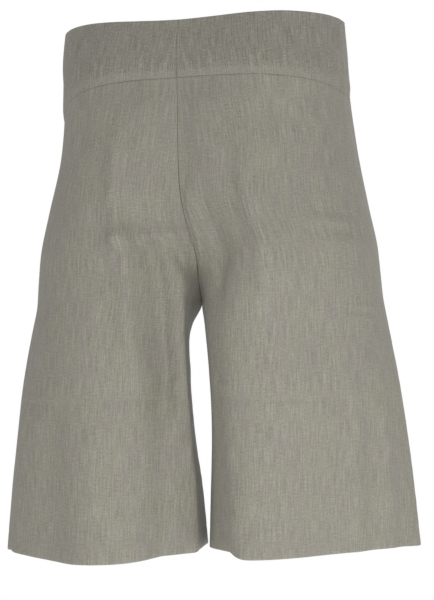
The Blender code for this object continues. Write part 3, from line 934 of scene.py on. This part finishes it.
@dataclass
class Cloth:
    """One cut piece of cloth and what it stands for."""

    name: str
    node: str
    slot: str
    finish: LinenFinish
    cut: Cut
    thickness: float = 0.0006

    def lay_net(self, columns: int, rows: int) -> tuple[bpy.types.Object, np.ndarray, np.ndarray]:
        """Adds a flat net of faces.

        Args:
            columns: Stations across.
            rows: Stations down.

        Returns:
            The net, and each vertex's column and row.
        """
        bpy.ops.object.select_all(action="DESELECT")
        bpy.ops.mesh.primitive_grid_add(x_subdivisions=columns - 1, y_subdivisions=rows - 1, size=1.0)
        net = bpy.context.active_object
        net.name = self.name
        net.data.name = self.name
        flat = np.zeros(len(net.data.vertices) * 3)
        net.data.vertices.foreach_get("co", flat)
        flat = flat.reshape(-1, 3)
        column = np.rint((flat[:, 0] + 0.5) * (columns - 1)).astype(int)
        row = np.rint((0.5 - flat[:, 1]) * (rows - 1)).astype(int)
        return net, column, row

    def shape(self, net: bpy.types.Object, points: np.ndarray, cut: np.ndarray, edge: np.ndarray,
              out: np.ndarray) -> bpy.types.Object:
        """Moves a net onto its form and gives it its thickness.

        Args:
            net: The flat net.
            points: Where each vertex goes.
            cut: Each vertex's place in the flat cut, in metres.
            edge: How pale each is, 0 to 1: worn along seams and folds, and on the back band the painted
                highlight above its lower seam.
            out: The direction out of the cloth at each vertex, x and y.

        Returns:
            The finished piece of cloth.
        """
        mesh = net.data
        mesh.vertices.foreach_set("co", points.ravel())
        mesh.update()
        if self.faces_in(mesh, out):
            mesh.flip_normals()
        layer = mesh.uv_layers.active
        layer.name = "cut"
        corner = np.zeros(len(mesh.loops), dtype=int)
        mesh.loops.foreach_get("vertex_index", corner)
        layer.data.foreach_set("uv", cut[corner].ravel())
        worn = mesh.attributes.new("edge", "FLOAT", "POINT")
        worn.data.foreach_set("value", edge.astype(np.float32))
        wall = net.modifiers.new("wall", "SOLIDIFY")
        wall.thickness = self.thickness
        wall.offset = -1.0
        wall.use_even_offset = False
        bpy.ops.object.modifier_apply(modifier=wall.name)
        mesh.materials.append(self.finish.material())
        bpy.ops.object.shade_smooth_by_angle(angle=SMOOTH_ANGLE)
        return net

    @staticmethod
    def faces_in(mesh: bpy.types.Mesh, out: np.ndarray) -> bool:
        """Whether the net's faces point into the body.

        Args:
            mesh: The net.
            out: The direction out of the cloth at each vertex, x and y.

        Returns:
            True where they do.
        """
        normals = np.zeros(len(mesh.vertices) * 3)
        mesh.vertices.foreach_get("normal", normals)
        normals = normals.reshape(-1, 3)[:, :2]
        return float((normals * out).sum()) < 0.0

    def dress(self, piece: bpy.types.Object) -> None:
        """Hangs the finished piece on the root and hides the solid that it stands for.

        Args:
            piece: The piece.
        """
        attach(piece, ROOT)
        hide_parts(self.node)
        LOG.info("%s: %d faces", piece.name, len(piece.data.polygons))


@dataclass
class LegPanel:
    """A leg panel: it hangs from the band, is sewn at both long edges and has a turned-up hem."""

    half: Half
    side: Side
    cloth: Cloth
    crumple: Crumple
    wearing: Wearing
    hem: Turning = Turning(radius=0.0010, allowance=0.019, bends=4, runs=8)
    seam: Turning = Turning(radius=0.0007, allowance=0.010)
    top: Turning = Turning(radius=0.0007)
    columns: int = 170
    rows: int = 210
    crowd_across: float = 0.2    # how much closer the columns are at the seams
    crowd_down: float = 0.1      # and the rows at the band and the hem
    hem_zone: float = 0.024      # height over which seam allowances are trimmed away above the hem
    trimmed: float = 0.04        # what is left of them there
    hem_mark: float = 0.00022    # how far the sewn edge of the hem shows through as a groove
    mark_width: float = 0.0016

    def make(self) -> bpy.types.Object:
        """Builds the panel.

        Returns:
            The finished piece of cloth.
        """
        across = Grid.across(self.seam, self.seam, self.columns, self.crowd_across)
        down = Grid.across(self.top, self.hem, self.rows, self.crowd_down)
        net, column, row = self.cloth.lay_net(len(across.share), len(down.share))
        up = self.turned_up(down)[row]
        kept = self.allowance_kept(down)[row]
        lies, share = across.share[column], down.share[row]
        top, low = self.half.seam_height(self.side, lies), self.half.hem_height(self.side, lies)
        height = top + (low - top) * share - (down.shift[row] + down.more_shift[row])
        width = self.half.width(self.side, height)
        shifted = across.shift[column] + kept * across.more_shift[column]
        lies = np.clip(lies + shifted / width, 0.0, 1.0)
        place = self.half.place(self.side, lies, height)
        turned = np.where(up, -1.0, 1.0) * across.depth[column] + kept * across.more_depth[column]
        depth = down.depth[row] + down.more_depth[row] + turned
        cut = np.column_stack((place.inwards + across.gone[column], height - 2 * (height - low) * up))
        from_seam = np.minimum(lies, 1.0 - lies) * width
        out = self.relief(place.inwards, height, cut, from_seam, low) - depth
        points = self.wearing.carry(self.half.kept_apart(place.lifted(out)))
        worn = np.exp(-np.minimum(from_seam, np.abs(height - low)) / WEAR_REACH)
        return self.cloth.shape(net, points, cut, worn, place.out * np.where(up, -1, 1)[:, None])

    def relief(self, inwards: np.ndarray, height: np.ndarray, cut: np.ndarray,
               from_seam: np.ndarray, low: np.ndarray) -> np.ndarray:
        """How far folds, crumples and the hem's sewn edge carry the cloth out.

        Args:
            inwards: How far each vertex lies from the grain line.
            height: The height of each.
            cut: Places in the flat cut.
            from_seam: How far each is from the nearest long seam.
            low: The height of the hem's folded edge there.

        Returns:
            The distance out of the cloth, in metres.
        """
        key = self.side.value, self.half.name
        folds = sum(fold.relief(inwards, height) for fold in FOLDS[key])
        creases = sum(crease.relief(inwards, height) for crease in CREASES[key])
        calm = smooth_step(0.0, self.crumple.edge_fade, from_seam)
        from_mark = (height - low - self.hem.allowance - self.hem.radius) / self.mark_width
        mark = self.hem_mark * np.exp(-from_mark**2)
        return (folds + creases) * calm + self.crumple.relief(cut, from_seam) - mark

    def turned_up(self, down: Grid) -> np.ndarray:
        """Which rows are the hem's turned-up layer."""
        return (down.share >= 1.0) & (down.more_depth > 0.0)

    def allowance_kept(self, down: Grid) -> np.ndarray:
        """How much of the seam allowances is left at each row."""
        above = (1.0 - down.share) * -HEM
        kept = self.trimmed + (1 - self.trimmed) * smooth_step(self.hem_zone, 2 * self.hem_zone, above)
        return np.where(self.turned_up(down), self.trimmed, kept)


@dataclass
class BandPiece:
    """A piece of waistband: an outer layer folded over at the top and faced inside."""

    halves: tuple[Half, ...]    # one for a piece from a side seam to the centre, two for one right across
    side: Side
    cloth: Cloth
    crumple: Crumple
    wearing: Wearing
    lower: Turning = Turning(radius=0.0007, allowance=0.008)
    end: Turning = Turning(radius=0.0007)
    top_radius: float = 0.0011       # of the outer face round the top fold
    facing_overlap: float = 0.004    # how far the facing reaches below the seam inside
    facing_cloth: float = 0.7        # how far off along the cloth the facing's own stretch of it lies
    facing_depth: float = 1.5        # depth past which the cloth is facing, in radii of the top fold
    columns: int = 132
    rows: int = 40
    top_bends: int = 8
    crowd: float = 0.3               # how much closer the columns are at the ends
    swell: float = 0.0020            # how far the allowances inside push the band out above its seam
    swell_starts: float = 0.011      # height above the seam at which it is full
    swell_ends: float = 0.045        # and at which it has died out
    ridge_highlight: float = 0.0060          # height above the back's seam up to which the painted highlight of the ridge there is full
    highlight_top: float = 0.00975       # and from which there is none
    highlight_strength: float = 0.9        # how pale that painted highlight is, 0 to 1

    def top_height(self, across: np.ndarray) -> np.ndarray:
        """Height of the band's upper edge.

        Args:
            across: How far across each point lies, 0 at the side seam and 1 at the centre.

        Returns:
            The height at each point, before the shorts are worn.
        """
        if self.side is Side.FRONT:
            return np.full_like(across, BAND_TOP - BAND_TOP_DROP)
        dip = BAND_TOP_DIP * smooth_step(DIP_START, 1.0, across)
        return BAND_TOP - dip - BAND_TOP_DROP * (1.0 - across)**BAND_ARCH

    def ladder(self) -> np.ndarray:
        """The rows from the allowance, up the outer layer, over the fold and down the facing.

        Returns:
            For each row its share of the band's height, metres added to its height, its depth, and how far
            round to the facing it is, 0 to 1.
        """
        low, top = self.lower.radius, self.top_radius
        tucked = [(0.0, shift, low + depth, 0.0) for shift, depth, _ in self.lower.beyond()]
        turned = [(0.0, shift, depth, 0.0) for shift, depth, _ in self.lower.quarter()]
        even = np.linspace(0.0, 1.0, self.rows + 1)[1:]
        outer = [(s, low * (1 - s) - top * s, 0.0, 0.0) for s in even[:-1]]
        over = [(1.0, -top * (1 - math.sin(a)), top * (1 - math.cos(a)), a / math.pi)
                for a in np.linspace(0.0, math.pi, self.top_bends + 1)]
        inner = [(1.0 - s, -top * (1 - s) - self.facing_overlap * s, 2 * top, 1.0) for s in even]
        return np.array(tucked + turned + outer + over + inner)

    def make(self) -> bpy.types.Object:
        """Builds the piece.

        Returns:
            The finished piece of cloth.
        """
        rungs = self.ladder()
        across = Grid.across(self.end, self.end, self.columns, self.crowd)
        net, column, row = self.cloth.lay_net(len(across.share), len(rungs))
        share, added, depth, facing = rungs[row].T
        flank = across.depth[column] * (1.0 - 2.0 * facing)
        arrange = self.half_points if len(self.halves) == 1 else self.whole_points
        lies, shift = across.share[column], across.shift[column]
        points, out, cut, worn = arrange(lies, shift, share, added, depth + flank)
        sign = np.where(facing > 0.5, -1.0, 1.0)[:, None]
        return self.cloth.shape(net, points, cut, worn, out * sign)

    def half_points(self, lies: np.ndarray, *spot: np.ndarray) -> tuple[np.ndarray, ...]:
        """Points of a piece from a side seam to the centre, given and told as in points."""
        return self.points(self.halves[0], lies, *spot)

    def whole_points(self, lies: np.ndarray, shift: np.ndarray, *spot: np.ndarray) -> tuple[np.ndarray, ...]:
        """Points of a piece from one side seam to the other.

        Args:
            lies: How far from the left side seam to the right one each vertex is.
            shift: Metres added to that.
            spot: The rest of what points takes.

        Returns:
            What points returns.
        """
        left = self.points(self.halves[0], np.clip(2 * lies, 0, 1), shift, *spot)
        right = self.points(self.halves[1], np.clip(2 - 2 * lies, 0, 1), -shift, *spot)
        first = (lies <= 0.5)[:, None]
        width = self.halves[0].width(self.side, np.zeros_like(lies))
        left[2][:, 0] -= width / 2
        right[2][:, 0] = width / 2 - right[2][:, 0]
        return tuple(np.where(first if a.ndim == 2 else first[:, 0], a, b) for a, b in zip(left, right))

    def points(self, half: Half, lies: np.ndarray, shift: np.ndarray, share: np.ndarray, added: np.ndarray,
               depth: np.ndarray) -> tuple[np.ndarray, ...]:
        """Where the cloth of one half lies.

        Args:
            half: The left or right half.
            lies: How far from the side seam to the centre each vertex is.
            shift: Metres added to that.
            share: How far up the band each is.
            added: Metres added to that.
            depth: Metres under the outer face.

        Returns:
            The worn points, the directions out of the body, places in the flat cut, and how pale each is:
            worn edges, and on the back the painted highlight above the seam.
        """
        alone = len(self.halves) == 1
        low, top = half.seam_height(self.side, lies), self.top_height(lies)
        height = low + (top - low) * share + added
        width = half.width(self.side, height)
        lies = np.clip(lies + shift / width, 0.0, 1.0)
        place = half.place(self.side, lies, height)
        is_facing = depth > self.facing_depth * self.top_radius
        cut = np.column_stack((place.inwards, height + self.facing_cloth * is_facing))
        from_end = np.minimum(lies, 1.0 - lies) * width if alone else lies * width
        local = place.lifted(self.relief(cut, from_end, height - low) - depth)
        if alone:
            local = half.kept_apart(local)
        nearest = np.minimum(np.minimum(from_end, np.abs(top - height)), np.abs(height - low))
        worn = np.exp(-nearest / WEAR_REACH)
        # Painted highlight: a pale strip just above the back band's lower seam, full at the centre and fading
        # towards the side seam, stands in for light on the ridge that the allowances push up.
        if self.side is Side.BACK:
            ridge_highlight = smooth_step(self.highlight_top, self.ridge_highlight, np.abs(height - low)) * lies
            worn = np.maximum(worn, self.highlight_strength * ridge_highlight)
        return self.wearing.carry(local), place.out, cut, worn

    def relief(self, cut: np.ndarray, from_end: np.ndarray, above: np.ndarray) -> np.ndarray:
        """How far crumples and the allowances under the band carry the cloth out.

        Args:
            cut: Places in the flat cut.
            from_end: How far each is from the nearest end of the piece.
            above: Height of each above the band's lower edge.

        Returns:
            The distance out of the cloth, in metres.
        """
        rise = smooth_step(0.0, self.swell_starts, above)
        swell = self.swell * rise * smooth_step(self.swell_ends, self.swell_starts, above)
        swell = swell * smooth_step(0.0, self.swell_ends, from_end)
        return self.crumple.relief(cut, np.minimum(from_end, np.abs(above))) + swell


@dataclass(frozen=True)
class Lamp:
    """A soft round lamp that faces the shorts and isn't seen itself."""

    name: str
    towards: float    # how far from the shorts it stands, towards the camera
    right: float      # and to the camera's right
    height: float
    size: float
    watts: float


LAMPS = (
    Lamp("key", 1.5, 0.05, -0.75, 0.5, 8.6),
    Lamp("side", 0.7, 1.25, -0.78, 0.6, 2.9),
    Lamp("rear", -2.2, 0.4, 0.9, 1.8, 22.0),
)
WHITE: Four = (1.0, 1.0, 1.0, 1.0)
FLOOR_PAINT: Four = (0.86, 0.86, 0.85, 1.0)


@dataclass
class Studio:
    """Camera, floor, lamps and background."""

    azimuth: float = 196.0           # the back, seen a little from the wearer's right
    distance: float = 2.5
    eye_height: float = -0.262
    aside: float = 0.0115            # how far right of the upright axis the camera looks
    lens: float = 136.4
    clip: Pair = (0.05, 60.0)        # nearest and farthest that the camera sees
    floor_height: float = -0.99
    floor_size: float = 16.0
    floor_roughness: float = 0.8
    shadow_floor: float = 0.5        # how far from the middle the floor stays pale and takes the shadow
    white_floor: float = 1.25        # and from how far it is white
    daylight: float = 0.59           # strength of the plain light from all round

    def make(self) -> None:
        """Sets up everything round the shorts."""
        towards, right = self.directions()
        middle = Vector((0.0, 0.0, self.eye_height))
        self.camera(towards * self.distance + middle, middle + right * self.aside)
        self.floor()
        for lamp in LAMPS:
            place = towards * lamp.towards + right * lamp.right + Vector((0.0, 0.0, lamp.height))
            self.hang(lamp, place, middle)
        self.world()

    def directions(self) -> tuple[Vector, Vector]:
        """The level directions towards the camera and to its right."""
        angle = math.radians(self.azimuth)
        towards = Vector((math.sin(angle), -math.cos(angle), 0.0))
        return towards, Vector((math.cos(angle), math.sin(angle), 0.0))

    def camera(self, place: Vector, aim: Vector) -> None:
        """Adds the camera.

        Args:
            place: Where it stands.
            aim: The point that it looks at.
        """
        bpy.ops.object.camera_add(location=place, rotation=(aim - place).to_track_quat("-Z", "Y").to_euler())
        camera = bpy.context.active_object
        camera.data.lens = self.lens
        camera.data.clip_start, camera.data.clip_end = self.clip
        bpy.context.scene.camera = camera

    def hang(self, lamp: Lamp, place: Vector, aim: Vector) -> None:
        """Adds a lamp.

        Args:
            lamp: The lamp.
            place: Where it stands.
            aim: The point that it faces.
        """
        turn = (aim - place).to_track_quat("-Z", "Y").to_euler()
        bpy.ops.object.light_add(type="AREA", location=place, rotation=turn)
        light = bpy.context.active_object
        light.name = lamp.name
        light.data.shape = "DISK"
        light.data.size = lamp.size
        light.data.energy = lamp.watts
        light.visible_camera = False

    def floor(self) -> None:
        """Adds the floor: pale by the shorts, where their shadow falls, and white far off."""
        bpy.ops.object.select_all(action="DESELECT")
        bpy.ops.mesh.primitive_plane_add(size=self.floor_size, location=(0.0, 0.0, self.floor_height))
        floor = bpy.context.active_object
        floor.name = "floor"
        made = bpy.data.materials.new("pale_floor")
        made.use_nodes = True
        bench = Bench(made.node_tree)
        place = bench.node("ShaderNodeTexCoord", {}, {}, "Object")
        away = bench.node("ShaderNodeVectorMath", {"operation": "LENGTH"}, {0: place}, "Value")
        far = away.ramp(self.shadow_floor, self.white_floor)
        seen = bench.node("ShaderNodeLightPath", {}, {}, "Is Camera Ray")
        paint = {"Base Color": FLOOR_PAINT, "Roughness": self.floor_roughness}
        matte = bench.node("ShaderNodeBsdfPrincipled", {}, paint)
        white = bench.node("ShaderNodeEmission", {}, {"Color": WHITE, "Strength": 1.0})
        mixed = bench.node("ShaderNodeMixShader", {}, {0: far * seen, 1: matte, 2: white})
        bench.node("ShaderNodeOutputMaterial", {}, {"Surface": mixed})
        floor.data.materials.append(made)

    def world(self) -> None:
        """Sets the plain light from all round, and the white that is seen behind the shorts."""
        world = bpy.data.worlds.new("studio")
        bpy.context.scene.world = world
        world.use_nodes = True
        bench = Bench(world.node_tree)
        rays = bench.node("ShaderNodeLightPath", {}, {}, "Is Camera Ray")
        glossy, through = rays.beside("Is Glossy Ray"), rays.beside("Is Transmission Ray")
        seen = rays.do("MAXIMUM", glossy).do("MAXIMUM", through)
        strength = seen * (1.0 - self.daylight) + self.daylight
        light = bench.node("ShaderNodeBackground", {}, {"Color": WHITE, "Strength": strength})
        bench.node("ShaderNodeOutputWorld", {}, {"Surface": light})
        bpy.context.scene.view_settings.view_transform = "Standard"


LEFT = Half("left", 1, -0.084, LEFT_HEM, BACK_SEAT + BACK_LEFT_LEG)
RIGHT = Half("right", -1, -0.050, RIGHT_HEM, BACK_SEAT + BACK_RIGHT_LEG)
# With 10 mm allowances and 20 mm hems. The bands are cut double and folded along the top.
CUTS = {
    "back_left": Cut(0.402, 0.535, 0.172, 25.3),
    "back_right": Cut(0.378, 0.535, 0.168, 30.6),
    "front_left": Cut(0.356, 0.520, 0.161, 35.9),
    "front_right": Cut(0.360, 0.520, 0.163, 41.2),
    "band_back_left": Cut(0.245, 0.255, 0.042, 1.3),
    "band_back_right": Cut(0.245, 0.195, 0.037, 5.0),
    "band_front": Cut(0.455, 0.255, 0.081, 9.1),
}
PANEL_LINEN = LinenFinish("panel_linen", (0.294, 0.283, 0.232))
# Painted shade: the band's linen is the panels' cloth made darker, for the shade that falls across the band.
BAND_LINEN = LinenFinish("waistband_linen", (0.273, 0.264, 0.217), contrast=0.43)
BAND_WAVE = 0.0005    # the band's waves are shallower than the panels'


def build_band(halves: tuple[Half, ...], side: Side, node: str, wearing: Wearing) -> None:
    """Builds and dresses a piece of waistband.

    Args:
        halves: The halves of the shorts that it covers.
        side: Back or front.
        node: The solid that it stands for.
        wearing: How the shorts are worn.
    """
    cloth = Cloth("waist" + node, node, "band_linen", BAND_LINEN, CUTS[node])
    band = BandPiece(halves, side, cloth, Crumple(CUTS[node].seed, wave=BAND_WAVE), wearing)
    cloth.dress(band.make())


def build_panel(half: Half, side: Side, wearing: Wearing) -> None:
    """Builds and dresses a leg panel.

    Args:
        half: The left or right half of the shorts.
        side: Back or front.
        wearing: How the shorts are worn.
    """
    node = f"{side.value}_{half.name}"
    cloth = Cloth("leg_panel_" + node, node, "linen", PANEL_LINEN, CUTS[node])
    panel = LegPanel(half, side, cloth, Crumple(CUTS[node].seed), wearing)
    cloth.dress(panel.make())


def main() -> None:
    """Builds the shorts and the studio round them."""
    wearing = Wearing()
    for half in (LEFT, RIGHT):
        build_band((half,), Side.BACK, "band_back_" + half.name, wearing)
    build_band((LEFT, RIGHT), Side.FRONT, "band_front", wearing)
    for side in Side:
        for half in (LEFT, RIGHT):
            build_panel(half, side, wearing)
    Studio().make()


if __name__ == "__main__":
    logging.basicConfig(level=logging.INFO, format="%(message)s")
    main()
